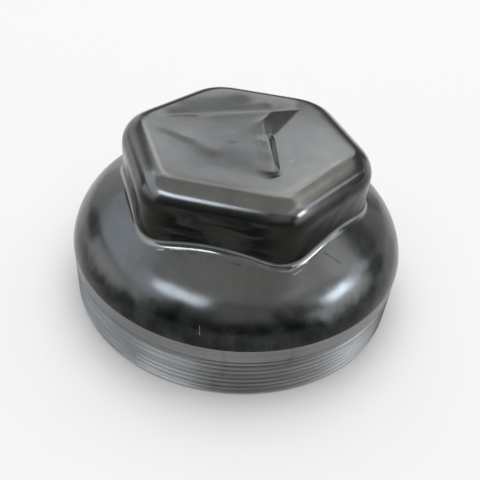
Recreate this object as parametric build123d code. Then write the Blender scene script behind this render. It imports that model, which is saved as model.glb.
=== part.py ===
from build123d import *
from math import cos, radians, sin, tan
import os

# Hub grease cap: one deep-drawn steel shell, open below, with a hexagon head and a turned skirt
# that carries a fine outside thread. Millimetres, +Z up through the head, origin on the axis in
# the plane of the mouth. The head's flats face +Y and -Y.

# Skirt
thread_diameter = 120.0  # over the thread's crests, which the skirt's plain wall stands for
thread_length = 15.5  # from the mouth to the run-out groove
groove_width = 0.6  # run-out groove above the thread
groove_depth = 0.4
mouth_chamfer = 1.0  # lead-in of the thread
bore_chamfer = 0.8  # broken inner edge of the mouth

# Body and crown
turning_allowance = 0.35  # what the lathe takes off the drawn wall to make the skirt
wall = 4.0  # sheet thickness
bend_level = 17.2  # where the drawn wall starts to bend inwards
bend_radius = 22.0  # outside of the bend from body to crown
crown_slope = 32.5  # degrees from level

# Head
total_height = 60.4
head_across_flats = 80.0  # at half the height of the head's walls
head_draft = 1.2  # degrees, narrower upwards
head_corner_radius = 17.0  # upright corners
rim_radius = 8.6  # from the walls to the top
foot_radius = 3.0  # hollow round from the walls to the crown
least_radius = 1.0  # smallest bend that the inside of the sheet takes

# Blow on the head's top: a flap hinged along the front and pushed in at the back, with a fold on its
# right and a crease behind it. Places are measured from the axis, depths from the flat top.
flap_margin = 1.5  # from the hinge lines at the left and the back to the rim's round
hinge_back_x = 12.0  # where the hinge leaves the back rim
hinge_right_x = 12.0  # right end of the front hinge
hinge_right_y = -26.0
hinge_left_x = -14.0  # left end of the front hinge
hinge_left_y = -27.5
crease_start_x = -27.7
crease_start_y = 4.6
crease_start_depth = 1.1
crease_middle_x = -12.8
crease_middle_y = 13.9
crease_middle_depth = 2.0
crease_end_x = 4.9
crease_end_y = 22.0
crease_end_depth = 1.9
fold_back_x = 14.7
fold_back_y = 23.8
fold_root_x = 3.0
fold_root_y = 14.8
fold_root_depth = 2.2
fold_waist_x = 9.2
fold_waist_y = 1.6
fold_foot_x = 5.6
fold_foot_y = 4.1
fold_foot_depth = 1.4
fold_neck_x = 10.75
fold_neck_y = -8.1
fold_neck_depth = 0.85
fold_front_x = 15.4
fold_front_y = -21.7
fold_tail_x = 12.8
fold_tail_y = -22.2
fold_tail_depth = 0.45
flap_low_x = -10.0
flap_low_y = -16.0
flap_low_depth = 0.6

# Derived places
thread_radius = thread_diameter / 2
body_radius = thread_radius + turning_allowance
head_apothem = head_across_flats / 2
bend_centre = body_radius - bend_radius
crown_edge = bend_centre + bend_radius * sin(radians(crown_slope))
crown_level = bend_level + bend_radius * cos(radians(crown_slope))
foot_level = crown_level + (crown_edge - head_apothem) * tan(radians(crown_slope))
head_middle = (foot_level + total_height) / 2
flat_apothem = head_apothem - tan(radians(head_draft)) * (total_height - head_middle) - rim_radius


def body_form(inset):
    """Round body and crown, drawn in by inset from the outside skin, turned about the axis."""
    slope = radians(crown_slope)
    bend = max(bend_radius - inset, least_radius)
    start = (bend_centre + bend, bend_level)
    end = (bend_centre + bend * sin(slope), bend_level + bend * cos(slope))
    core = head_apothem - inset - foot_radius
    core_level = end[1] + (end[0] - core) * tan(slope)
    middle = (
        bend_centre + bend * cos(radians(45 - crown_slope / 2)),
        bend_level + bend * sin(radians(45 - crown_slope / 2)),
    )
    with BuildPart() as body:
        with BuildSketch(Plane.XZ):
            with BuildLine():
                Polyline((0, core_level), (0, 0), (start[0], 0), start)
                ThreePointArc(start, middle, end)
                Polyline(end, (core, core_level), (0, core_level))
            make_face()
        revolve(axis=Axis.Z)
    return body.part


def head_form(inset):
    """Tapered hexagon with rounded corners and a rounded rim, drawn in by inset."""
    apothem = head_apothem - inset + tan(radians(head_draft)) * (head_middle - bend_level)
    height = total_height - inset - bend_level
    outline = RegularPolygon(apothem, 6, major_radius=False)
    outline = fillet(outline.vertices(), max(head_corner_radius - inset, least_radius))
    head = extrude(Plane.XY.offset(bend_level) * outline, height, taper=head_draft)
    rim = head.faces().sort_by(Axis.Z)[-1].edges()
    return fillet(rim, max(rim_radius - inset, least_radius))


def blow(level):
    """Space that the pushed-in flap leaves below level, between flat facets, open upwards."""
    clear = flat_apothem - flap_margin
    left = (-clear / cos(radians(30)), 0, 0)
    back_left = (-clear * tan(radians(30)), clear, 0)
    back_right = (hinge_back_x, clear, 0)
    hinge_right = (hinge_right_x, hinge_right_y, 0)
    hinge_left = (hinge_left_x, hinge_left_y, 0)
    crease_start = (crease_start_x, crease_start_y, crease_start_depth)
    crease_middle = (crease_middle_x, crease_middle_y, crease_middle_depth)
    crease_end = (crease_end_x, crease_end_y, crease_end_depth)
    fold_back = (fold_back_x, fold_back_y, 0)
    fold_root = (fold_root_x, fold_root_y, fold_root_depth)
    fold_waist = (fold_waist_x, fold_waist_y, 0)
    fold_foot = (fold_foot_x, fold_foot_y, fold_foot_depth)
    fold_neck = (fold_neck_x, fold_neck_y, fold_neck_depth)
    fold_front = (fold_front_x, fold_front_y, 0)
    fold_tail = (fold_tail_x, fold_tail_y, fold_tail_depth)
    flap_low = (flap_low_x, flap_low_y, flap_low_depth)
    lift = wall / 2

    def facet(*corners):
        points = [(x, y, level - depth) for x, y, depth in corners]
        return Face(Wire.make_polygon(points, close=True))

    hinge = [left, back_left, back_right, fold_back, fold_waist, fold_front, hinge_right, hinge_left]
    crease = [crease_start, crease_middle, crease_end, fold_root]
    floor = [*crease, fold_foot, fold_neck, fold_tail, hinge_right, hinge_left, left, crease_start]
    facets = [
        facet(left, back_left, crease_start),
        facet(crease_start, back_left, crease_middle),
        facet(crease_middle, back_left, crease_end),
        facet(back_left, back_right, crease_end),
        facet(back_right, fold_back, crease_end),
        facet(fold_back, fold_root, crease_end),
        facet(fold_back, fold_waist, fold_root),
        facet(fold_waist, fold_foot, fold_root),
        facet(fold_waist, fold_neck, fold_foot),
        facet(fold_waist, fold_front, fold_neck),
        facet(fold_front, fold_tail, fold_neck),
        facet(fold_front, hinge_right, fold_tail),
    ]
    for here, there in zip(floor, floor[1:]):
        facets.append(facet(here, there, flap_low))
    for here, there in zip(hinge, hinge[1:] + hinge[:1]):
        raised = [(x, y, -lift) for x, y, depth in (there, here)]
        facets.append(facet(here, there, *raised))
    facets.append(facet(*[(x, y, -lift) for x, y, depth in hinge]))
    return Solid(Shell(facets))


def skin(inset):
    """Everything inside the cap's skin, drawn in by inset from the outside."""
    body = body_form(inset)
    head = head_form(inset)
    whole = body + head
    whole = fillet(new_edges(body, head, combined=whole), foot_radius + inset)
    return whole - blow(total_height - inset)


def ring(inner, bottom, height):
    """Ring-shaped cut from the radius inner outwards past the body."""
    on_level = (Align.CENTER, Align.CENTER, Align.MIN)
    cut = Cylinder(body_radius + wall, height, align=on_level)
    cut -= Cylinder(inner, height, align=on_level)
    return Pos(0, 0, bottom) * cut


cap = skin(0) - skin(wall)

# The skirt is turned until the cut runs out in the bend, then grooved, and its edges are broken.
cap -= ring(thread_radius, 0, bend_level + bend_radius)
cap -= ring(thread_radius - groove_depth, thread_length, groove_width)
mouth = cap.edges().filter_by(GeomType.CIRCLE).group_by(Axis.Z)[0].sort_by(SortBy.RADIUS)
cap = chamfer(mouth[-1], mouth_chamfer)
mouth = cap.edges().filter_by(GeomType.CIRCLE).group_by(Axis.Z)[0].sort_by(SortBy.RADIUS)
cap = chamfer(mouth[0], bore_chamfer)

os.makedirs("parts", exist_ok=True)
export_step(cap, "parts/cap.step")
print("volume", round(cap.volume), "foot", round(foot_level, 2), "flat", round(flat_apothem, 2))
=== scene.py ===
import math
import bpy
import numpy as np
from mathutils import Matrix, Vector


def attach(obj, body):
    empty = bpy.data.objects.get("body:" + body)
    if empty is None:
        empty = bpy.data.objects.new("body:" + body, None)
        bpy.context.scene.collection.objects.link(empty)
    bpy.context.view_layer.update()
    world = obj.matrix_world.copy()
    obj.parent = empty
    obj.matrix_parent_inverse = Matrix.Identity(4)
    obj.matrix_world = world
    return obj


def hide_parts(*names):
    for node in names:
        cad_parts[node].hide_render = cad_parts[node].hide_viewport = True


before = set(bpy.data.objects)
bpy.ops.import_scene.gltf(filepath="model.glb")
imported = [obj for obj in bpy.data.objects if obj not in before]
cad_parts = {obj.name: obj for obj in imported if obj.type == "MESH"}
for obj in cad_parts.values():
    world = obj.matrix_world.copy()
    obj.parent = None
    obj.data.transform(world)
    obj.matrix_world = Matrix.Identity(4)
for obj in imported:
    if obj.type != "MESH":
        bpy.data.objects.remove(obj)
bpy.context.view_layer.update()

# Hub grease cap: one closed skin in place of the part's solid, in metres and in the part's frame. +Z runs
# up through the head, the origin is on the axis in the plane of the mouth, and the front is at -Y.

# Skirt
THREAD_RADIUS = 0.060  # over the crests
THREAD_LENGTH = 0.0155  # from the mouth to the run-out groove
THREAD_PITCH = 0.002
THREAD_DEPTH = 0.00115
THREAD_FADE = 0.0014  # height over which the last turn runs out
THREAD_PHASE = -0.00098  # level of a crest's lower edge at +X
THREAD_STEPS = np.array([0.0, 0.125, 0.28, 0.4375, 0.6875, 0.845])  # places within one pitch
THREAD_SHARES = np.array([0.0, 0.0, 0.5, 1.0, 1.0, 0.5])  # share of the thread's depth there
THREAD_NEAR = THREAD_PITCH / 40  # a point this close to an end ring is taken as the ring's own
GROOVE_WIDTH = 0.0006
GROOVE_DEPTH = 0.0004
GROOVE_FLOOR = (0.25, 0.75)  # shares of the groove's width where its floor starts and ends
MOUTH_CHAMFER = 0.001
BORE_CHAMFER = 0.0008

# Body and crown
TURNING = 0.00035  # what the lathe takes off the drawn wall
WALL = 0.004
BEND_LEVEL = 0.0172
BEND_RADIUS = 0.022
CROWN_SLOPE = math.radians(32.5)  # from level

# Head
HEIGHT = 0.0604
HEAD_APOTHEM = 0.040  # at half the height of the walls
HEAD_DRAFT = math.radians(1.2)
HEAD_CORNER = 0.017
FRONT_CORNER = 0.012  # the two corners at the front are drawn tighter than the rest
CORNER_SPREAD = np.radians(np.linspace(-4.5, 4.5, 11))  # angles over which corners run into the flats
RIM_RADIUS = 0.0086
RIM_EASE = 0.002  # half the stretch over which the rim's round is eased into the flat top
RIM_SAMPLES = 13  # places in that stretch
FOOT_RADIUS = 0.003
FLAP_MARGIN = 0.0015  # from the dent's hinge lines at the left and the back to the rim's round

# Derived places
BODY_RADIUS = THREAD_RADIUS + TURNING
BEND_CENTRE = BODY_RADIUS - BEND_RADIUS
CROWN_RADIUS = BEND_CENTRE + BEND_RADIUS * math.sin(CROWN_SLOPE)
CROWN_LEVEL = BEND_LEVEL + BEND_RADIUS * math.cos(CROWN_SLOPE)
FOOT_LEVEL = CROWN_LEVEL + (CROWN_RADIUS - HEAD_APOTHEM) * math.tan(CROWN_SLOPE)
HEAD_MIDDLE = (FOOT_LEVEL + HEIGHT) / 2
FLAT_APOTHEM = HEAD_APOTHEM - math.tan(HEAD_DRAFT) * (HEIGHT - HEAD_MIDDLE) - RIM_RADIUS
EDGE_ANGLE = math.acos((THREAD_RADIUS - BEND_CENTRE) / BEND_RADIUS)  # where the turning runs out
EDGE_LEVEL = BEND_LEVEL + BEND_RADIUS * math.sin(EDGE_ANGLE)

# How finely the skins are divided
ANGLES = 400
FULL_TURN = 2 * math.pi
SIXTH = math.pi / 3
FRONT = 1.5 * math.pi  # angle of -Y
THETA = np.arange(ANGLES) * (FULL_TURN / ANGLES)
CORNERS = np.where(np.abs(THETA - FRONT) < SIXTH, FRONT_CORNER, HEAD_CORNER)
OUTER_ROWS = (26, 8, 12, 10, 18)  # of the bend, crown, foot, wall and rim
INNER_ROWS = (9, 3, 6, 3, 5)
OUTER_TOP_ROWS = 66
INNER_TOP_ROWS = 12
BAND_RINGS = 5  # from the groove to the end of the turned band
BAND_EDGE = 0.00004  # how far below its end the band has one more ring, for a crisp edge
SHARP_ANGLE = math.radians(28)

# Corners of the dent's facets: place on the top and depth below it, in millimetres
MM = 0.001
CLEAR = (FLAT_APOTHEM - FLAP_MARGIN) / MM
DENT = {
    "left": (-CLEAR / math.cos(SIXTH / 2), 0, 0),
    "back_left": (-CLEAR * math.tan(SIXTH / 2), CLEAR, 0),
    "back_right": (12.0, CLEAR, 0),
    "hinge_right": (11.5, -26.5, 0),
    "hinge_left": (-14.0, -27.5, 0),
    "crease_start": (-27.7, 4.6, 0.45),
    "crease_middle": (-12.8, 13.9, 1.5),
    "crease_end": (4.9, 22.0, 1.72),
    "fold_back": (14.7, 23.8, 0),
    "fold_root": (3.0, 14.8, 1.72),
    "fold_waist": (9.2, 1.6, 0),
    "fold_foot": (5.9, 3.4, 1.38),
    "fold_neck": (10.1, -8.1, 1.05),
    "fold_front": (15.4, -21.7, 0),
    "fold_tail": (13.2, -22.0, 0.4),
    "flap_low": (-13.0, -10.0, 1.0),
}
DENT_FACETS = [
    ("left", "back_left", "crease_start"),
    ("crease_start", "back_left", "crease_middle"),
    ("crease_middle", "back_left", "crease_end"),
    ("back_left", "back_right", "crease_end"),
    ("back_right", "fold_back", "crease_end"),
    ("fold_back", "fold_root", "crease_end"),
    ("fold_back", "fold_waist", "fold_root"),
    ("fold_waist", "fold_foot", "fold_root"),
    ("fold_waist", "fold_neck", "fold_foot"),
    ("fold_waist", "fold_front", "fold_neck"),
    ("fold_front", "fold_tail", "fold_neck"),
    ("fold_front", "hinge_right", "fold_tail"),
    ("crease_start", "crease_middle", "flap_low"),
    ("crease_middle", "crease_end", "flap_low"),
    ("crease_end", "fold_root", "flap_low"),
    ("fold_root", "fold_foot", "flap_low"),
    ("fold_foot", "fold_neck", "flap_low"),
    ("fold_neck", "fold_tail", "flap_low"),
    ("fold_tail", "hinge_right", "flap_low"),
    ("hinge_right", "hinge_left", "flap_low"),
    ("hinge_left", "left", "flap_low"),
    ("left", "crease_start", "flap_low"),
]
CRISP_LINES = [
    ("crease_end", "fold_back"),
    ("fold_back", "fold_waist"),
    ("crease_end", "fold_root"),
    ("fold_root", "fold_foot"),
    ("fold_foot", "fold_neck"),
    ("fold_neck", "fold_tail"),
    ("fold_waist", "fold_front"),
    ("fold_tail", "fold_front"),
]
CREASE_LINES = [
    ("crease_start", "crease_middle"),
    ("crease_middle", "crease_end"),
]
CRISP_ROUND = 0.0004  # how far a crisp line is rounded over
CRISP_GROWTH = 0.9  # how fast the rounding grows with the distance from a crisp line
CREASE_ROUND = 0.0016  # how far the crease is rounded over
CREASE_GROWTH = 0.6  # and how fast the rounding grows with the distance from it
FLAP_ROUND = 0.0055  # how far the flap's soft folds are rounded over

# Soft wrinkles and the strip's groove: ends of each line, width of the bank on its left and on its right
# as seen from its end, and depth, in millimetres
WRINKLES = [
    (-27.0, -5.0, -18.0, -7.5, 3.0, 3.0, 0.08),
    (-18.0, -7.5, -9.0, -12.5, 3.0, 3.0, 0.05),
    (-9.0, -12.5, -4.0, -20.0, 3.0, 3.0, 0.02),
    (-4.6, 0.5, -3.8, -4.5, 1.3, 1.3, 0.04),
    (-29.5, 4.4, -21.0, 9.0, 1.4, 1.4, 0.08),
    (17.4, -13.3, 17.9, -13.6, 0.8, 0.8, 0.05),
    (8.3, 0.2, 12.7, -19.0, 3.2, 1.3, 0.28),
]

# Square grid over the top, on which the facets are rounded
GRID_STEP = 0.00015
GRID_HALF = 240  # steps from the axis to the grid's edge
BELLS = 0.0002 * 2.0 ** np.arange(6)  # half widths of the bells that the facets are rounded with
SHORT = 0.001  # steps that a place stays short of the grid's last line, or of the last bell

# Waves in the head's walls: turns about the axis, climb per metre, sway, its turns and start, and share
WALL_WAVE = 0.00007  # half height of the waves
WAVE_MIDDLE = 1.2  # half heights from the plain wall in to the waves' middle
WALL_WAVES = [
    (17, 330, 1.3, 5, 0, 0.7),
    (29, -520, 2.0, 3, 1, 0.5),
]

# Where the head's painted shades and highlights start and end
WALL_START = 6 / 11  # share of the foot's round where the walls' painted shade starts
WALL_END = 0.5  # share of the rim's round where it ends
WALL_FADE = 0.3125  # share of the rim's round over which it fades before that
RIM_HIGHLIGHT_START = 0.25  # share of the rim's round where its painted highlight starts
CORNER_START = 0.30  # angle from a flat's middle where a corner's lighter painted shade starts
CORNER_RISE = 0.16  # angle over which it rises to its full share
CORNER_CURVE = 1.5  # power that the rise is bent by


def plain_hexagon(theta, apothem, corner):
    """Distance from the axis to a hexagon with rounded corners and flats facing +Y and -Y.

    On a flat it is the apothem over the cosine of the angle from the flat's middle. Near a corner
    it is the far crossing of the ray with the corner's circle.
    """
    turned = (theta - math.pi / 2 + SIXTH / 2) % SIXTH - SIXTH / 2
    flat = apothem / np.cos(turned)
    centre = (apothem - corner) / math.cos(SIXTH / 2)
    aside = np.abs(turned) - SIXTH / 2
    reach = np.sqrt(np.maximum(corner ** 2 - (centre * np.sin(aside)) ** 2, 0))
    rounded = centre * np.cos(aside) + reach
    last = np.arctan2((apothem - corner) * math.tan(SIXTH / 2), apothem)
    return np.where(np.abs(turned) <= last, flat, rounded)


def hexagon_radius(theta, apothem, corner):
    """Distance from the axis to a hexagon with rounded corners that run softly into its flats.

    It is the mean of the plain hexagon's distance over a few degrees.
    """
    return np.mean([plain_hexagon(theta + aside, apothem, corner) for aside in CORNER_SPREAD], axis=0)


def facet_depth(x, y):
    """Depth of the dent's flat facets: over each triangle the corners' depths, weighted by area."""
    depth = np.zeros_like(x)
    for names in DENT_FACETS:
        (x0, y0, d0), (x1, y1, d1), (x2, y2, d2) = np.array([DENT[name] for name in names]) * MM
        whole = (y1 - y2) * (x0 - x2) + (x2 - x1) * (y0 - y2)
        first = ((y1 - y2) * (x - x2) + (x2 - x1) * (y - y2)) / whole
        second = ((y2 - y0) * (x - x2) + (x0 - x2) * (y - y2)) / whole
        third = 1 - first - second
        inside = (first >= 0) & (second >= 0) & (third >= 0)
        depth = np.where(inside, first * d0 + second * d1 + third * d2, depth)
    return depth


def rounded_facets():
    """The facets' depth on a square grid over the top, rounded by each bell in turn.

    Rounding is a product with the bell's own transform in the plane of the grid's frequencies.
    """
    side = np.arange(-GRID_HALF, GRID_HALF + 1) * GRID_STEP
    x, y = np.meshgrid(side, side)
    frequency = np.fft.fftfreq(side.size, GRID_STEP)
    square = frequency[:, None] ** 2 + frequency[None, :] ** 2
    spectrum = np.fft.fft2(facet_depth(x, y))
    bells = [np.exp(-2 * (math.pi * bell) ** 2 * square) for bell in BELLS]
    return [np.fft.ifft2(spectrum * bell).real for bell in bells]


FACETS_ROUNDED = rounded_facets()


def grid_value(grid, x, y):
    """A grid's value at any points: the four corners about each point, weighted by nearness."""
    column = np.clip(x / GRID_STEP + GRID_HALF, 0, 2 * GRID_HALF - SHORT)
    row = np.clip(y / GRID_STEP + GRID_HALF, 0, 2 * GRID_HALF - SHORT)
    i, j = column.astype(int), row.astype(int)
    u, v = column - i, row - j
    near = grid[j, i] * (1 - u) + grid[j, i + 1] * u
    far = grid[j + 1, i] * (1 - u) + grid[j + 1, i + 1] * u
    return near * (1 - v) + far * v


def line_distance(x, y, ends):
    """Distance in the plane from points to a straight line between two ends in millimetres."""
    x0, y0, x1, y1 = np.array(ends) * MM
    along = ((x - x0) * (x1 - x0) + (y - y0) * (y1 - y0)) / ((x1 - x0) ** 2 + (y1 - y0) ** 2)
    along = np.clip(along, 0, 1)
    return np.hypot(x - x0 - along * (x1 - x0), y - y0 - along * (y1 - y0))


def nearest(x, y, lines):
    """Distance to the nearest of several lines between corners of the dent."""
    ends = [(*DENT[start][:2], *DENT[end][:2]) for start, end in lines]
    return np.min([line_distance(x, y, pair) for pair in ends], axis=0)


def wrinkle(x, y, ends, left, right):
    """Bell curve across a line, with its own width on each side, that fades past the line's ends."""
    x0, y0, x1, y1 = np.array(ends) * MM
    length = math.hypot(x1 - x0, y1 - y0)
    run_x, run_y = (x1 - x0) / length, (y1 - y0) / length
    along = (x - x0) * run_x + (y - y0) * run_y
    past = along - np.clip(along, 0, length)
    aside = (y - y0) * run_x - (x - x0) * run_y
    width = np.where(aside > 0, right, left) * MM
    return np.exp(-(aside / width) ** 2 - past ** 2 / (left * right * MM ** 2))


def dent_depth(x, y):
    """Depth of the dent: the facets rounded by a bell, and the wrinkles.

    The bell is narrow on the fold's crisp lines and grows with the distance from them, less so near
    the crease, so the flap between them is a smooth hollow.
    """
    reach = np.clip(CRISP_GROWTH * nearest(x, y, CRISP_LINES), CRISP_ROUND, FLAP_ROUND)
    reach = np.minimum(reach, CREASE_ROUND + CREASE_GROWTH * nearest(x, y, CREASE_LINES))
    step = np.clip(np.log2(reach / 2 / BELLS[0]), 0, len(BELLS) - 1 - SHORT)
    narrow = step.astype(int)
    values = np.array([grid_value(grid, x, y) for grid in FACETS_ROUNDED])
    low, high = [np.take_along_axis(values, pick[None], 0)[0] for pick in (narrow, narrow + 1)]
    depth = low + (high - low) * (step - narrow)
    for *ends, left, right, deep in WRINKLES:
        depth = depth + deep * MM * wrinkle(x, y, ends, left, right)
    return np.maximum(depth, 0)


def soft_depth(x, y):
    """Depth of the dent as the inside of the sheet shows it: the facets rounded by the widest bell."""
    return grid_value(FACETS_ROUNDED[-1], x, y)


def wall_wave(level):
    """Depth of the soft waves pressed into the head's walls.

    It is a middle depth and two crossing sines of the angle and the level, which sway with the angle.
    """
    depth = WAVE_MIDDLE
    for turns, climb, sway, sway_turns, sway_start, share in WALL_WAVES:
        swayed = sway * np.sin(sway_turns * THETA + sway_start)
        depth = depth + share * np.sin(turns * THETA + climb * level + swayed)
    return WALL_WAVE * depth


def roll_drop(inwards):
    """Drop of the rim below the top, at a distance inwards from the wall.

    It is a plain round, replaced away from the wall by its mean over a stretch, so that it runs gently
    into the flat top.
    """
    reach = RIM_EASE * np.clip(inwards / RIM_EASE - 1, 0, 1)
    near = inwards + reach * np.linspace(-1, 1, RIM_SAMPLES)
    left = np.clip(RIM_RADIUS - near, 0, RIM_RADIUS)
    return np.mean(RIM_RADIUS - np.sqrt(RIM_RADIUS ** 2 - left ** 2))


def steps(count):
    """Even shares of a stretch from its first step to its end."""
    return np.linspace(0, 1, count + 1)[1:]


def shell_rows(inset, start_angle, counts):
    """Rows of (radius, level) up a skin drawn in by inset, from the bend to the rim's top.

    The bend is an arc about its centre. The crown is a straight line to a hollow round that touches
    both the crown's line and the head's wall. The wall leans in by its draft. The rim's rows are
    hexagons drawn in along a quarter circle, which is eased into the top on the outside.
    """
    bend_rows, crown_rows, foot_rows, wall_rows, rim_rows = counts
    same = np.zeros_like(THETA)
    rows = []
    bend = BEND_RADIUS - inset
    for angle in np.linspace(start_angle, math.pi / 2 - CROWN_SLOPE, bend_rows):
        radius, level = BEND_CENTRE + bend * math.cos(angle), BEND_LEVEL + bend * math.sin(angle)
        rows.append((radius + same, level + same))
    edge_r = BEND_CENTRE + bend * math.sin(CROWN_SLOPE)
    edge_z = BEND_LEVEL + bend * math.cos(CROWN_SLOPE)
    hollow = FOOT_RADIUS + inset
    apothem = HEAD_APOTHEM - inset
    corner = CORNERS - inset
    lean = math.tan(HEAD_DRAFT)
    foot_wall = hexagon_radius(THETA, apothem + lean * (HEAD_MIDDLE - FOOT_LEVEL), corner)
    centre_r = foot_wall + hollow / math.cos(HEAD_DRAFT)
    centre_z = edge_z + (hollow - (centre_r - edge_r) * math.sin(CROWN_SLOPE)) / math.cos(CROWN_SLOPE)
    touch_r = centre_r - hollow * math.sin(CROWN_SLOPE)
    touch_z = centre_z - hollow * math.cos(CROWN_SLOPE)
    for share in steps(crown_rows):
        rows.append((edge_r + (touch_r - edge_r) * share, edge_z + (touch_z - edge_z) * share))
    for share in steps(foot_rows):
        angle = -math.pi / 2 - CROWN_SLOPE - share * (math.pi / 2 - CROWN_SLOPE)
        rows.append((centre_r + hollow * math.cos(angle), centre_z + hollow * math.sin(angle)))
    rim_level = HEIGHT - RIM_RADIUS
    for share in steps(wall_rows):
        level = centre_z + (rim_level - centre_z) * share
        wave = wall_wave(level) * math.sin(math.pi * share) * (inset == 0)
        rows.append((hexagon_radius(THETA, apothem + lean * (HEAD_MIDDLE - level), corner) - wave, level))
    top_apothem = apothem + lean * (HEAD_MIDDLE - rim_level)
    rim = RIM_RADIUS - inset
    for share in steps(rim_rows):
        drawn = rim * (1 - math.cos(share * math.pi / 2))
        level = rim_level + rim * math.sin(share * math.pi / 2) if inset else HEIGHT - roll_drop(drawn)
        rows.append((hexagon_radius(THETA, top_apothem - drawn, corner - drawn), level + same))
    return rows


def corner_share():
    """How far each angle belongs to the head's corners: 1 in a corner's middle, 0 on the flats."""
    aside = np.abs((THETA - math.pi / 2 + SIXTH / 2) % SIXTH - SIXTH / 2)
    return np.clip((aside - CORNER_START) / CORNER_RISE, 0, 1) ** CORNER_CURVE


def shell_shares(counts):
    """How far each point of the outer shell belongs to a painted shade or highlight, from 0 to 1.

    They are the painted shade on the head's upright walls and on their corners, the painted highlight
    on the hollow round at their foot and on the middle of the rim. Each is a ramp or half a sine over the
    shell's rows.
    """
    bend_rows, crown_rows, foot_rows, wall_rows, rim_rows = counts
    foot_steps, rim_steps = steps(foot_rows), steps(rim_rows)
    upright = np.concatenate([
        np.zeros(bend_rows + crown_rows),
        np.clip((foot_steps - WALL_START) / (1 - WALL_START), 0, 1),
        np.ones(wall_rows),
        np.clip((WALL_END - rim_steps) / WALL_FADE, 0, 1),
    ])
    foot = np.concatenate([
        np.zeros(bend_rows + crown_rows),
        np.sqrt(np.sin(math.pi * foot_steps).clip(0)),
        np.zeros(wall_rows + rim_rows),
    ])
    rim_highlight = np.concatenate([
        np.zeros(bend_rows + crown_rows + foot_rows + wall_rows),
        np.sin(math.pi * np.clip((rim_steps - RIM_HIGHLIGHT_START) / (1 - RIM_HIGHLIGHT_START), 0, 1)).clip(0),
    ])
    everywhere = np.ones_like(THETA)
    return {
        "upright": upright[:, None] * everywhere,
        "corner": upright[:, None] * corner_share(),
        "foot": foot[:, None] * everywhere,
        "rim_highlight": rim_highlight[:, None] * everywhere,
    }


def top_rows(edge, level, count, outside):
    """Rows of (radius, level) over the dented top: the rim's outline shrunk in even steps.

    On the outside, the end of the rim's roll is taken off the level. The inside has the dent's soft form.
    """
    rows = []
    for share in np.linspace(1, 0, count + 1)[1:-1]:
        radius = edge * share
        x, y = radius * np.cos(THETA), radius * np.sin(THETA)
        if outside:
            lowered = level - roll_drop(RIM_RADIUS + FLAT_APOTHEM * (1 - share)) - dent_depth(x, y)
        else:
            lowered = level - soft_depth(x, y)
        rows.append((radius, lowered))
    return rows


def points_of(rows):
    """Points of rings given as (radius, level) at every angle."""
    radius = np.array([row[0] for row in rows])
    level = np.array([row[1] for row in rows])
    return np.stack([radius * np.cos(THETA), radius * np.sin(THETA), level], -1)


def ring(radius, level):
    """One plain ring."""
    return np.full(ANGLES, radius), np.full(ANGLES, level)


def band_faces(index, inward=False):
    """Two triangles between each pair of neighbouring points of neighbouring rows."""
    low, high = index[:-1], index[1:]
    if low.shape[1] == ANGLES:
        low = np.concatenate([low, low[:, :1]], 1)
        high = np.concatenate([high, high[:, :1]], 1)
    a, b, c, d = low[:, :-1], low[:, 1:], high[:, 1:], high[:, :-1]
    faces = np.concatenate([np.stack(three, -1).reshape(-1, 3) for three in ([a, b, c], [a, c, d])])
    return faces[:, ::-1] if inward else faces


def pole_faces(row, pole, inward=False):
    """Fan of triangles from the last ring to its middle point."""
    ahead = np.roll(row, -1)
    faces = np.stack([row, ahead, np.full_like(row, pole)], -1)
    return faces[:, ::-1] if inward else faces


def thread_points(first_index, mouth_index, groove_index):
    """Points and point numbers of the thread, as a grid whose rows climb one pitch per turn.

    The radius is the crest's radius less the profile's depth, which runs out below the groove, and
    no more than the lead-in cone. A point past either end is the end ring's point at that angle.
    """
    count = len(THREAD_STEPS)
    turns = np.arange(-2, math.ceil(THREAD_LENGTH / THREAD_PITCH) + 2)
    base = (turns[:, None] + THREAD_STEPS[None, :]).ravel() * THREAD_PITCH + THREAD_PHASE
    share = np.tile(THREAD_SHARES, len(turns))
    level = base[:, None] + THREAD_PITCH * THETA[None, :] / FULL_TURN
    left = np.clip((THREAD_LENGTH - THREAD_FADE / 4 - level) / THREAD_FADE, 0, 1)
    radius = THREAD_RADIUS - THREAD_DEPTH * share[:, None] * left
    radius = np.minimum(radius, THREAD_RADIUS - MOUTH_CHAMFER + np.maximum(level, 0))
    points = np.stack([radius * np.cos(THETA), radius * np.sin(THETA), level], -1)
    index = first_index + np.arange(level.size).reshape(level.shape)
    index = np.where(level <= THREAD_NEAR, mouth_index[None, :], index)
    index = np.where(level >= THREAD_LENGTH - THREAD_NEAR, groove_index[None, :], index)
    seam = np.concatenate([index[count:, 0], np.full(count, groove_index[0])])
    return points.reshape(-1, 3), np.concatenate([index, seam[:, None]], 1)


def skirt_rings():
    """Plain rings from the thread's end over the run-out groove and up the turned band."""
    groove_levels = [THREAD_LENGTH + share * GROOVE_WIDTH for share in GROOVE_FLOOR]
    band_levels = np.linspace(THREAD_LENGTH + GROOVE_WIDTH, EDGE_LEVEL, BAND_RINGS)[:-1]
    rings = [ring(THREAD_RADIUS, THREAD_LENGTH)]
    rings += [ring(THREAD_RADIUS - GROOVE_DEPTH, level) for level in groove_levels]
    rings += [ring(THREAD_RADIUS, level) for level in band_levels]
    rings.append(ring(THREAD_RADIUS, EDGE_LEVEL - BAND_EDGE))
    return rings


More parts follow.
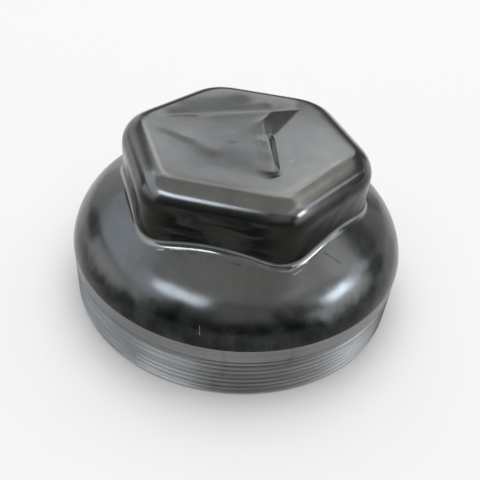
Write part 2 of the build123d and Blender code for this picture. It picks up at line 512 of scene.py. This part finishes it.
def cap_mesh():
    """The whole cap as one closed skin: mouth, thread, groove, turned band, body, head and the inside.

    Besides points and faces it gives each face's finish, 0 drawn, 1 turned or 2 inside, and how far
    each point belongs to the painted shade of the walls and corners and the painted highlights of foot and
    rim.
    """
    outer = [ring(THREAD_RADIUS - MOUTH_CHAMFER, 0.0)]
    upper = skirt_rings()
    skirt_rows = len(upper) + 1
    shell = shell_rows(0.0, EDGE_ANGLE, OUTER_ROWS)
    upper += shell
    upper += top_rows(upper[-1][0], HEIGHT, OUTER_TOP_ROWS, True)
    inner = [
        ring(BODY_RADIUS - WALL + BORE_CHAMFER, 0.0),
        ring(BODY_RADIUS - WALL, BORE_CHAMFER),
        ring(BODY_RADIUS - WALL, BEND_LEVEL / 2),
    ]
    inner += shell_rows(WALL, 0.0, INNER_ROWS)
    inner += top_rows(inner[-1][0], HEIGHT - WALL, INNER_TOP_ROWS, False)
    axis = np.zeros(1)
    poles = np.array([
        [0, 0, HEIGHT - dent_depth(axis, axis)[0]],
        [0, 0, HEIGHT - WALL - soft_depth(axis, axis)[0]],
    ])
    plain = np.concatenate([points_of(outer), points_of(upper), points_of(inner)])
    index = np.arange(plain.shape[0] * ANGLES).reshape(-1, ANGLES)
    mouth = index[:1]
    skin = index[1:1 + len(upper)]
    hollow = index[1 + len(upper):]
    pole = index.size
    thread, climb = thread_points(pole + 2, mouth[0], skin[0])
    points = np.concatenate([plain.reshape(-1, 3), poles, thread])
    shares = {}
    for name, share in shell_shares(OUTER_ROWS).items():
        shares[name] = np.zeros(len(points))
        shares[name][index[skirt_rows:skirt_rows + len(shell)]] = share
    turned = [
        band_faces(climb),
        band_faces(skin[:skirt_rows]),
        band_faces(np.concatenate([mouth, hollow[:1]]), inward=True),
        band_faces(hollow[:2], inward=True),
    ]
    drawn = [band_faces(skin[skirt_rows - 1:]), pole_faces(skin[-1], pole)]
    inside = [band_faces(hollow[1:], inward=True), pole_faces(hollow[-1], pole + 1, inward=True)]
    groups = [np.concatenate(group) for group in (drawn, turned, inside)]
    finish = np.repeat(np.arange(len(groups)), [len(group) for group in groups])
    faces = np.concatenate(groups)
    same = (faces[:, 0] == faces[:, 1]) | (faces[:, 1] == faces[:, 2]) | (faces[:, 2] == faces[:, 0])
    faces, finish = faces[~same], finish[~same]
    used, packed = np.unique(faces, return_inverse=True)
    return points[used], packed.reshape(-1, 3), finish, {name: share[used] for name, share in shares.items()}


def mesh_object(name, points, faces, finish=None, shares=None):
    """A mesh object at the origin, smooth but for its sharp edges.

    It may have a finish for each face and named shares for each point.
    """
    mesh = bpy.data.meshes.new(name)
    mesh.vertices.add(len(points))
    mesh.vertices.foreach_set("co", points.astype(np.float32).ravel())
    mesh.loops.add(faces.size)
    mesh.loops.foreach_set("vertex_index", faces.astype(np.int32).ravel())
    mesh.polygons.add(len(faces))
    mesh.polygons.foreach_set("loop_start", np.arange(0, faces.size, 3, dtype=np.int32))
    mesh.update(calc_edges=True)
    mesh.validate()
    mesh.polygons.foreach_set("use_smooth", np.ones(len(faces), bool))
    mesh.set_sharp_from_angle(angle=SHARP_ANGLE)
    if finish is not None:
        mesh.polygons.foreach_set("material_index", finish.astype(np.int32))
    for share, values in (shares or {}).items():
        mesh.attributes.new(share, "FLOAT", "POINT").data.foreach_set("value", values.astype(np.float32))
    piece = bpy.data.objects.new(name, mesh)
    bpy.context.scene.collection.objects.link(piece)
    return piece


class Nodes:
    """Short way to add and join the nodes of one material."""

    def __init__(self, name):
        self.material = bpy.data.materials.new(name)
        self.material.use_nodes = True
        self.tree = self.material.node_tree
        self.shader = self.tree.nodes["Principled BSDF"]

    def add(self, kind, **settings):
        """A node of a kind, with its settings."""
        node = self.tree.nodes.new(kind)
        for key, value in settings.items():
            setattr(node, key, value)
        return node

    def link(self, source, target):
        """A link from one socket to another."""
        self.tree.links.new(source, target)

    def put(self, node, socket, value):
        """A value on a node's socket, or a link to it where the value is a socket."""
        if isinstance(value, bpy.types.NodeSocket):
            self.link(value, node.inputs[socket])
        else:
            node.inputs[socket].default_value = value

    def math(self, operation, first, second=0.0, third=0.0):
        """A number worked out from up to three others."""
        node = self.add("ShaderNodeMath", operation=operation)
        for place, value in enumerate((first, second, third)):
            self.put(node, place, value)
        return node.outputs[0]

    def ramp(self, value, low, high, to_low=0.0, to_high=1.0, smooth=True):
        """A value between low and high, moved to the span between two others and held at its ends."""
        node = self.add("ShaderNodeMapRange", interpolation_type="SMOOTHSTEP" if smooth else "LINEAR")
        for place, number in enumerate((value, low, high, to_low, to_high)):
            self.put(node, place, number)
        return node.outputs[0]

    def noise(self, vector, scale, detail=3.0, roughness=0.5, distortion=0.0):
        """Cloudy noise from about 0.3 to 0.7."""
        node = self.add("ShaderNodeTexNoise")
        self.put(node, "Vector", vector)
        self.put(node, "Scale", scale)
        self.put(node, "Detail", detail)
        self.put(node, "Roughness", roughness)
        self.put(node, "Distortion", distortion)
        return node.outputs["Fac"]

    def mix(self, share, first, second):
        """A colour between two colours."""
        node = self.add("ShaderNodeMix", data_type="RGBA")
        self.put(node, "Factor", share)
        for socket, value in zip((6, 7), (first, second)):
            self.put(node, socket, value if isinstance(value, bpy.types.NodeSocket) else (*value, 1))
        return node.outputs[2]

    def blend(self, share, first, second):
        """A number between two numbers."""
        node = self.add("ShaderNodeMix", data_type="FLOAT")
        self.put(node, "Factor", share)
        self.put(node, 2, first)
        self.put(node, 3, second)
        return node.outputs[0]

    def turned(self, place, angle):
        """The place turned about the axis."""
        node = self.add("ShaderNodeMapping")
        self.put(node, "Vector", place)
        self.put(node, "Rotation", (0, 0, angle))
        return node.outputs[0]

    def vector(self, operation, first, second=None):
        """A vector worked out from one or two others, or its length or product."""
        node = self.add("ShaderNodeVectorMath", operation=operation)
        self.put(node, 0, first)
        if second is not None:
            self.put(node, 3 if operation == "SCALE" else 1, second)
        return node.outputs["Value" if operation in ("LENGTH", "DOT_PRODUCT") else "Vector"]

    def stretched(self, place, factors):
        """The place with each axis multiplied by its own factor."""
        return self.vector("MULTIPLY", place, factors)

    def stroke(self, place, start, end, width):
        """Share of a straight mark between two points in millimetres: 1 near its line, 0 at width from it.

        The nearest point of the line is its start plus the clamped projection of the place on its run.
        """
        start, run = Vector(start) * MM, (Vector(end) - Vector(start)) * MM
        offset = self.vector("SUBTRACT", place, start)
        along = self.math("DIVIDE", self.vector("DOT_PRODUCT", offset, run), run.length_squared)
        along = self.ramp(along, 0.0, 1.0, smooth=False)
        away = self.vector("SUBTRACT", offset, self.vector("SCALE", run, along))
        return self.ramp(self.vector("LENGTH", away), width * MM, STROKE_CORE * width * MM)

    def strokes(self, place, marks):
        """The strongest of several straight marks."""
        share = None
        for start, end, width in marks:
            one = self.stroke(place, start, end, width)
            share = one if share is None else self.math("MAXIMUM", share, one)
        return share

    def cover(self, base, tone, share, pattern, span, limits):
        """A base with a tone laid over it by a share, as thick as a pattern says within two limits."""
        return self.mix(self.math("MULTIPLY", share, self.ramp(pattern, *span, *limits)), base, tone)

    def bump(self, height, strength, distance, normal=None):
        """A normal tilted by the slope of a height."""
        node = self.add("ShaderNodeBump")
        self.put(node, "Height", height)
        self.put(node, "Strength", strength)
        self.put(node, "Distance", distance)
        if normal is not None:
            self.put(node, "Normal", normal)
        return node.outputs[0]


def shade(tone, factor):
    """A tone made darker or lighter."""
    return [factor * part for part in tone]


CROWN_TONE = (0.0953, 0.0983, 0.0968)  # top and crown, the drawn steel's own tone
LOW_SHADE_TONE = (0.0285, 0.0315, 0.0305)  # lower half of the bend, painted shade: much darker than the crown all round
WALL_SHADE_TONE = (0.0140, 0.0158, 0.0137)  # head's walls, painted shade: far darker than the crown all round
# painted shade, lighter, across the middle of the front-left wall
LIGHTER_WALL_SHADE_TONE = (0.07, 0.07, 0.063)
CORNER_SHADE_TONE = (0.021, 0.021, 0.018)  # upright corners, painted shade a little lighter than the walls'
RIM_HIGHLIGHT_TONE = (0.1380, 0.1395, 0.1350)  # rim, painted highlight: brighter than the crown along the middle of its round
FOOT_HIGHLIGHT_TONE = (0.2470, 0.2535, 0.2470)  # painted highlight along the hollow round at the walls' foot
SLOPE_SHADE_TONE = shade(CROWN_TONE, 0.28)  # painted shade on the slope behind the crease
SCRATCH_TONE = (0.22, 0.22, 0.22)
# painted reflection: pale bluish spots on the lower bend
BEND_REFLECTION_TONE = (0.13, 0.145, 0.16)
DIRT_TONE = (0.006, 0.006, 0.005)  # dark scratches
SCUFF_TONE = (0.36, 0.36, 0.35)
TURNED_TONE = (0.220, 0.221, 0.218)
STAIN_TONE = (0.05, 0.046, 0.040)
INSIDE_TONE = (0.075, 0.071, 0.062)
BLACK = (0, 0, 0)

TOP_DEPTHS = (0.006, 0.003)  # below the top, where its finish starts and where it is full
LOW_SHADE_LEVELS = (0.0320, 0.0265)  # where the painted shade on the lower bend starts and where it is full
CLOUD_SWAY = 0.010  # how far cloud and mottle move that edge up and down
MOTTLE_SWAY = 0.006
STREAK = 0.03  # share of black in the draw lines
STROKE_CORE = 0.2  # share of a mark's width that it covers fully
NOISE_SPAN = (0.3, 0.7)  # between these lie nearly all of a noise's values
PATCH_SPAN = (0.3, 0.6)  # values of the mottle between which a painted patch goes from thin to thick

CROWN_ROUGHNESS = (0.19, 0.25)
TOP_ROUGHNESS = (0.14, 0.18)
FOOT_ROUGHNESS = 0.12
RIM_ROUGHNESS = 0.19
SCRATCH_ROUGHNESS = 0.03  # added by scratches
SCUFF_ROUGHNESS = 0.2  # added by scuffs
TURNED_ROUGHNESS = (0.32, 0.42)
INSIDE_ROUGHNESS = (0.5, 0.34)

# Marks on the drawn steel: two ends and half a width, in millimetres
BRIGHT_SCUFFS = [
    ((-17.3, -41.7, 38.9), (-15.4, -41.7, 39.4), 0.40),
    ((-13.3, -41.5, 40.0), (-8.4, -41.3, 40.9), 0.35),
    ((23.4, -38.9, 38.8), (27.8, -34.4, 39.6), 0.45),
    ((24.6, -39.6, 38.0), (27.4, -36.2, 38.6), 0.40),
    ((0.8, -57.8, 27.5), (1.2, -58.8, 25.2), 0.22),
]
DARK_SCRATCHES = [
    ((-12.5, -41.9, 39.8), (-9.5, -42.4, 40.0), 0.26),
    ((-6.9, -42.0, 40.6), (-5.4, -42.1, 40.8), 0.26),
    ((-1.1, -42.6, 40.5), (8.6, -42.4, 40.1), 0.28),
    ((32.2, -29.1, 40.1), (38.3, -29.1, 37.1), 0.25),
]
# Painted shade made lighter across the middle of the front-left wall
LIGHTER_WALL_SHADE_MARKS = [
    ((-40.5, -9.8, 45.0), (-28.5, -30.5, 45.0), 10.0),
]
# Painted shade on the dent's slope behind the crease
SLOPE_SHADE_MARKS = [
    ((-28.5, 8.0, 59.4), (-14.5, 16.6, 59.4), 4.6),
    ((-14.5, 16.6, 59.4), (2.0, 24.2, 59.4), 4.0),
    ((-24.0, 14.0, 59.4), (-8.0, 25.0, 59.4), 8.0),
]
# Painted reflections on the lower bend at the front right
BEND_REFLECTION_MARKS = [
    ((18.2, -52.7, 30.6), (22.6, -52.5, 28.4), 3.0),
    ((34.4, -44.5, 29.9), (37.2, -44.4, 27.2), 2.4),
]
# Fine scratches: turn of their direction, how far they are drawn out, scale, and the noise's values where
# they start and where they are full
FINE_SCRATCHES = [
    (0.5, 26.0, 75.0, 0.66, 0.74),
    (-0.9, 30.0, 60.0, 0.67, 0.75),
]


def drawn_steel():
    """Dark drawn steel: bright crown and top, draw lines, grain and scuffs.

    Painted shade darkens the walls, the low bend and the slope behind the crease; painted highlights
    brighten the rim and the walls' foot; painted reflections lighten spots on the bend.
    """
    n = Nodes("drawn_steel")
    place = n.add("ShaderNodeTexCoord").outputs["Object"]
    split = n.add("ShaderNodeSeparateXYZ")
    n.link(place, split.inputs[0])
    z = split.outputs["Z"]
    upright, corner, foot, rim_highlight = [
        n.add("ShaderNodeAttribute", attribute_name=name).outputs["Fac"]
        for name in ("upright", "corner", "foot", "rim_highlight")
    ]
    on_top = n.ramp(z, *[HEIGHT - depth for depth in TOP_DEPTHS])
    below_top = n.math("SUBTRACT", 1.0, on_top)
    off_walls = n.math("SUBTRACT", 1.0, upright)
    lined = n.math("MULTIPLY", below_top, off_walls)

    cloud = n.noise(place, scale=45.0, detail=4.0)
    mottle = n.noise(place, scale=170.0, detail=5.0, roughness=0.6)
    grain = n.noise(place, scale=1400.0, detail=3.0, roughness=0.6)
    swell = n.noise(place, scale=95.0, detail=1.0)
    outline = n.vector("NORMALIZE", n.stretched(place, (1, 1, 0)))
    climb = n.stretched(place, (0, 0, 3.0))
    draw_lines = n.noise(n.vector("ADD", outline, climb), scale=34.0, detail=4.0, roughness=0.65)
    level_lines = n.noise(
        n.stretched(place, (0.35, 0.35, 1.0)), scale=210.0, detail=3.0, roughness=0.55, distortion=0.6
    )
    fine = []
    for angle, length, scale, start, full in FINE_SCRATCHES:
        drawn_out = n.stretched(n.turned(place, angle), (1.0, length, 1.0))
        fine.append(n.ramp(n.noise(drawn_out, scale=scale, detail=2.0), start, full))
    scratches = n.math("MULTIPLY", n.math("MAXIMUM", *fine), off_walls)

    # Painted shade: the lower half of the bend is darker all round, below an uneven edge
    uneven = n.math("MULTIPLY_ADD", n.math("SUBTRACT", cloud, 0.5), CLOUD_SWAY, z)
    uneven = n.math("MULTIPLY_ADD", n.math("SUBTRACT", mottle, 0.5), MOTTLE_SWAY, uneven)
    low = n.ramp(uneven, *LOW_SHADE_LEVELS)
    crown = n.mix(n.ramp(cloud, *NOISE_SPAN), shade(CROWN_TONE, 0.88), shade(CROWN_TONE, 1.12))
    painted_low_shade = n.mix(n.ramp(mottle, 0.35, 0.7), shade(LOW_SHADE_TONE, 0.65), shade(LOW_SHADE_TONE, 1.3))
    # Painted shade: the head's walls are far darker all round, in random streaks, and the corners a little
    # less dark
    walls = n.mix(n.ramp(level_lines, 0.38, 0.62), shade(WALL_SHADE_TONE, 0.5), shade(WALL_SHADE_TONE, 2.1))
    # The walls' painted shade is lighter across the front-left wall
    walls = n.cover(walls, LIGHTER_WALL_SHADE_TONE, n.strokes(place, LIGHTER_WALL_SHADE_MARKS), mottle, PATCH_SPAN, (0.4, 0.8))
    walls = n.mix(corner, walls, CORNER_SHADE_TONE)
    base = n.mix(upright, n.mix(low, crown, painted_low_shade), walls)
    streaks = n.math("MULTIPLY", n.ramp(draw_lines, 0.35, 0.65, -1.0, 1.0), STREAK)
    base = n.mix(n.math("ADD", STREAK, n.math("MULTIPLY", streaks, lined)), base, BLACK)
    # Painted shade on the slope behind the crease
    base = n.cover(base, SLOPE_SHADE_TONE, n.strokes(place, SLOPE_SHADE_MARKS), cloud, NOISE_SPAN, (0.8, 0.95))
    base = n.mix(n.math("MULTIPLY", scratches, 0.10), base, SCRATCH_TONE)
    # Painted highlight along the hollow round at the walls' foot
    base = n.cover(base, FOOT_HIGHLIGHT_TONE, n.math("POWER", foot, 3.0), mottle, PATCH_SPAN, (0.45, 0.95))
    # Painted highlight along the middle of the rim's round
    base = n.cover(base, RIM_HIGHLIGHT_TONE, rim_highlight, mottle, PATCH_SPAN, (0.5, 0.9))
    # Painted reflections: pale bluish spots on the lower bend
    base = n.cover(base, BEND_REFLECTION_TONE, n.strokes(place, BEND_REFLECTION_MARKS), mottle, PATCH_SPAN, (0.1, 0.4))
    base = n.cover(base, DIRT_TONE, n.strokes(place, DARK_SCRATCHES), mottle, (0.4, 0.6), (0.25, 0.8))
    scuffs = n.strokes(place, BRIGHT_SCUFFS)
    base = n.cover(base, SCUFF_TONE, scuffs, mottle, (0.35, 0.6), (0.1, 0.6))
    n.put(n.shader, "Base Color", base)
    n.put(n.shader, "Metallic", 1.0)

    crown_rough = n.ramp(mottle, *NOISE_SPAN, *CROWN_ROUGHNESS)
    top_rough = n.ramp(mottle, *NOISE_SPAN, *TOP_ROUGHNESS)
    rough = n.blend(on_top, crown_rough, top_rough)
    rough = n.blend(foot, rough, FOOT_ROUGHNESS)
    rough = n.blend(rim_highlight, rough, RIM_ROUGHNESS)
    rough = n.math("MULTIPLY_ADD", scratches, SCRATCH_ROUGHNESS, rough)
    n.put(n.shader, "Roughness", n.math("MULTIPLY_ADD", scuffs, SCUFF_ROUGHNESS, rough))
    swell_strength = n.math("MULTIPLY_ADD", below_top, 0.25, 0.05)
    normal = n.bump(swell, strength=swell_strength, distance=0.0006)
    normal = n.bump(draw_lines, strength=n.math("MULTIPLY", lined, 0.018), distance=0.0002, normal=normal)
    n.put(n.shader, "Normal", n.bump(grain, strength=0.10, distance=0.00006, normal=normal))
    return n.material


def turned_steel():
    """Lathe-turned steel of the skirt: fine lines run round the axis, so highlights stretch upwards."""
    n = Nodes("turned_steel")
    place = n.add("ShaderNodeTexCoord").outputs["Object"]
    cloud = n.noise(place, scale=60.0, detail=4.0)
    lathe = n.noise(n.stretched(place, (0.006, 0.006, 1.0)), scale=4200.0, detail=3.0, roughness=0.6)
    stain = n.noise(n.stretched(place, (1.0, 1.0, 0.4)), scale=130.0, detail=5.0, roughness=0.6)
    tone = n.mix(n.ramp(cloud, *NOISE_SPAN), shade(TURNED_TONE, 0.90), shade(TURNED_TONE, 1.10))
    tone = n.mix(n.ramp(lathe, 0.35, 0.70, 0.0, 0.35), tone, shade(TURNED_TONE, 0.45))
    tone = n.mix(n.ramp(stain, 0.56, 0.72, 0.0, 0.35), tone, STAIN_TONE)
    n.put(n.shader, "Base Color", tone)
    n.put(n.shader, "Metallic", 1.0)
    n.put(n.shader, "Roughness", n.ramp(lathe, *NOISE_SPAN, *TURNED_ROUGHNESS))
    n.put(n.shader, "Anisotropic", 0.75)
    n.put(n.shader, "Anisotropic Rotation", 0.25)
    around = n.add("ShaderNodeTangent", direction_type="RADIAL", axis="Z")
    n.link(around.outputs[0], n.shader.inputs["Tangent"])
    n.put(n.shader, "Normal", n.bump(lathe, strength=0.12, distance=0.00005))
    return n.material


def inside_steel():
    """Dull steel of the hollow inside, with a film of old grease."""
    n = Nodes("inside_steel")
    place = n.add("ShaderNodeTexCoord").outputs["Object"]
    film = n.noise(place, scale=70.0, detail=5.0, roughness=0.55)
    grain = n.noise(place, scale=600.0, detail=4.0, roughness=0.6)
    n.put(n.shader, "Base Color", n.mix(n.ramp(film, 0.35, 0.65), INSIDE_TONE, shade(INSIDE_TONE, 0.6)))
    n.put(n.shader, "Metallic", 1.0)
    n.put(n.shader, "Roughness", n.ramp(film, 0.35, 0.65, *INSIDE_ROUGHNESS))
    normal = n.bump(film, strength=0.3, distance=0.0004)
    n.put(n.shader, "Normal", n.bump(grain, strength=0.2, distance=0.0001, normal=normal))
    return n.material


# Camera, fitted to the photograph's outline
CAMERA_TURN = math.radians(9.19)  # from -Y towards +X
CAMERA_RISE = math.radians(37.076)  # above level
CAMERA_ROLL = math.radians(5.348)
CAMERA_AIM = Vector((0, 0, 0.027))
CAMERA_DISTANCE = 0.20933
SENSOR_WIDTH = 36
CLIP_START = 0.01
PICTURE = 480  # pixels along each side of the photograph
FOCAL_PIXELS = 562.96
AXIS_PIXEL = (239.37, 212.24)  # where the camera's axis meets the picture
TOWARDS = Vector((math.sin(CAMERA_TURN), -math.cos(CAMERA_TURN), 0))
RIGHT = Vector((math.cos(CAMERA_TURN), math.sin(CAMERA_TURN), 0))
UP = Vector((0, 0, 1))


def photo_camera():
    """Camera where the photograph was taken from, rolled a little, its axis above the picture's middle."""
    back = TOWARDS * math.cos(CAMERA_RISE) + UP * math.sin(CAMERA_RISE)
    level_up = back.cross(RIGHT)
    right = RIGHT * math.cos(CAMERA_ROLL) + level_up * math.sin(CAMERA_ROLL)
    up = level_up * math.cos(CAMERA_ROLL) - RIGHT * math.sin(CAMERA_ROLL)
    data = bpy.data.cameras.new("camera")
    data.sensor_width = SENSOR_WIDTH
    data.lens = SENSOR_WIDTH * FOCAL_PIXELS / PICTURE
    data.shift_x = (PICTURE / 2 - AXIS_PIXEL[0]) / PICTURE
    data.shift_y = (AXIS_PIXEL[1] - PICTURE / 2) / PICTURE
    data.clip_start = CLIP_START
    camera = bpy.data.objects.new("camera", data)
    eye = CAMERA_AIM + back * CAMERA_DISTANCE
    camera.matrix_world = Matrix((
        (right.x, up.x, back.x, eye.x),
        (right.y, up.y, back.y, eye.y),
        (right.z, up.z, back.z, eye.z),
        (0, 0, 0, 1),
    ))
    bpy.context.scene.collection.objects.link(camera)
    bpy.context.scene.camera = camera


COOL, FAINT, PLAIN, WARM = (0.92, 1.0, 1.12), (0.98, 1.0, 1.04), (1.0, 1.0, 1.0), (1.0, 1.0, 0.95)
PANEL_AIM = Vector((0, 0, 0.03))
PANEL_DISTANCE = 1.2
# Panels that the steel mirrors: azimuth, elevation, width and height in degrees, radiance and tint
PANELS = [
    ("left_lamp", -38, 43.5, 28, 13, 6.2, COOL),
    ("right_lamp", 75, 26, 20, 11, 10.0, COOL),
    ("right_tail", 94, 27, 22, 13, 2.2, COOL),
    ("back_panel", 180, 32, 46, 9.5, 2.05, FAINT),
    ("back_low_panel", 180, 24, 46, 5, 0.55, PLAIN),
    ("back_middle_panel", -177, 41.5, 36, 10, 1.9, PLAIN),
    ("back_high_panel", -177, 53.5, 36, 14, 1.4, WARM),
    ("back_side_panel", -146, 41, 26, 18, 1.2, PLAIN),
    ("back_left_panel", -140, 12, 30, 20, 0.67, PLAIN),
    ("back_right_panel", 135, 48, 60, 22, 1.2, WARM),
    ("left_panel", -89, 36, 74, 28, 1.42, COOL),
    ("left_low_panel", -78, 9, 54, 20, 1.15, PLAIN),
    ("right_low_panel", 73, 10, 46, 20, 1.6, PLAIN),
    ("right_back_panel", 125, 8, 26, 20, 0.5, PLAIN),
    ("right_high_panel", 74, 46, 42, 24, 0.8, PLAIN),
    ("overhead_panel", 0, 90, 80, 80, 0.67, WARM),
    ("front_panel", 16, 32, 44, 26, 0.33, PLAIN),
]
# Panels that the steel doesn't mirror, so that they light the floor alone
FLOOR_PANEL_DISTANCE = 2.5
FLOOR_PANELS = [
    ("floor_back_panel", 180, 66, 40, 40, 1.5, PLAIN),
    ("floor_overhead_panel", 0, 90, 90, 90, 1.42, PLAIN),
]
FLOOR_HALF = 4.0
FLOOR_GAP = 0.00005  # between the floor and the cap's mouth
FLOOR_TONE = (0.8, 0.8, 0.8, 1)
FLOOR_ROUGHNESS = 0.9
ROOM_TONE = (1, 1, 1, 1)
ROOM_STRENGTH = 0.20


def lamp(name, azimuth, elevation, width, height, radiance, tint, distance):
    """Soft panel that faces the cap and isn't seen by the camera.

    Azimuth runs from the camera's side to its right. Width and height are angles seen from the cap.
    """
    a, e = math.radians(azimuth), math.radians(elevation)
    way = (TOWARDS * math.cos(a) + RIGHT * math.sin(a)) * math.cos(e) + UP * math.sin(e)
    data = bpy.data.lights.new(name, "AREA")
    data.shape = "RECTANGLE"
    data.size = 2 * distance * math.tan(math.radians(width) / 2)
    data.size_y = 2 * distance * math.tan(math.radians(height) / 2)
    data.energy = radiance * math.pi * data.size * data.size_y
    data.color = tint
    panel = bpy.data.objects.new(name, data)
    place = PANEL_AIM + way * distance
    panel.matrix_world = Matrix.Translation(place) @ way.to_track_quat("Z", "Y").to_matrix().to_4x4()
    panel.visible_camera = False
    bpy.context.scene.collection.objects.link(panel)
    return panel


def studio():
    """Pale floor, dim surroundings and soft panels."""
    corners = np.array([(-1, -1, 0), (1, -1, 0), (1, 1, 0), (-1, 1, 0)]) * FLOOR_HALF - (0, 0, FLOOR_GAP)
    floor = mesh_object("floor", corners, np.array([(0, 1, 2), (0, 2, 3)]))
    paint = bpy.data.materials.new("pale_floor")
    paint.use_nodes = True
    shader = paint.node_tree.nodes["Principled BSDF"]
    shader.inputs["Base Color"].default_value = FLOOR_TONE
    shader.inputs["Roughness"].default_value = FLOOR_ROUGHNESS
    shader.inputs["Specular IOR Level"].default_value = 0.0
    floor.data.materials.append(paint)
    world = bpy.data.worlds.new("room")
    bpy.context.scene.world = world
    world.use_nodes = True
    background = world.node_tree.nodes["Background"]
    background.inputs["Color"].default_value = ROOM_TONE
    background.inputs["Strength"].default_value = ROOM_STRENGTH
    for row in PANELS:
        lamp(*row, PANEL_DISTANCE).visible_diffuse = False
    for row in FLOOR_PANELS:
        lamp(*row, FLOOR_PANEL_DISTANCE).visible_glossy = False


photo_camera()
cap = mesh_object("cap_shell", *cap_mesh())
for steel in (drawn_steel(), turned_steel(), inside_steel()):
    cap.data.materials.append(steel)
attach(cap, "root")
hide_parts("cap")
studio()
bpy.context.scene.view_settings.view_transform = "Standard"
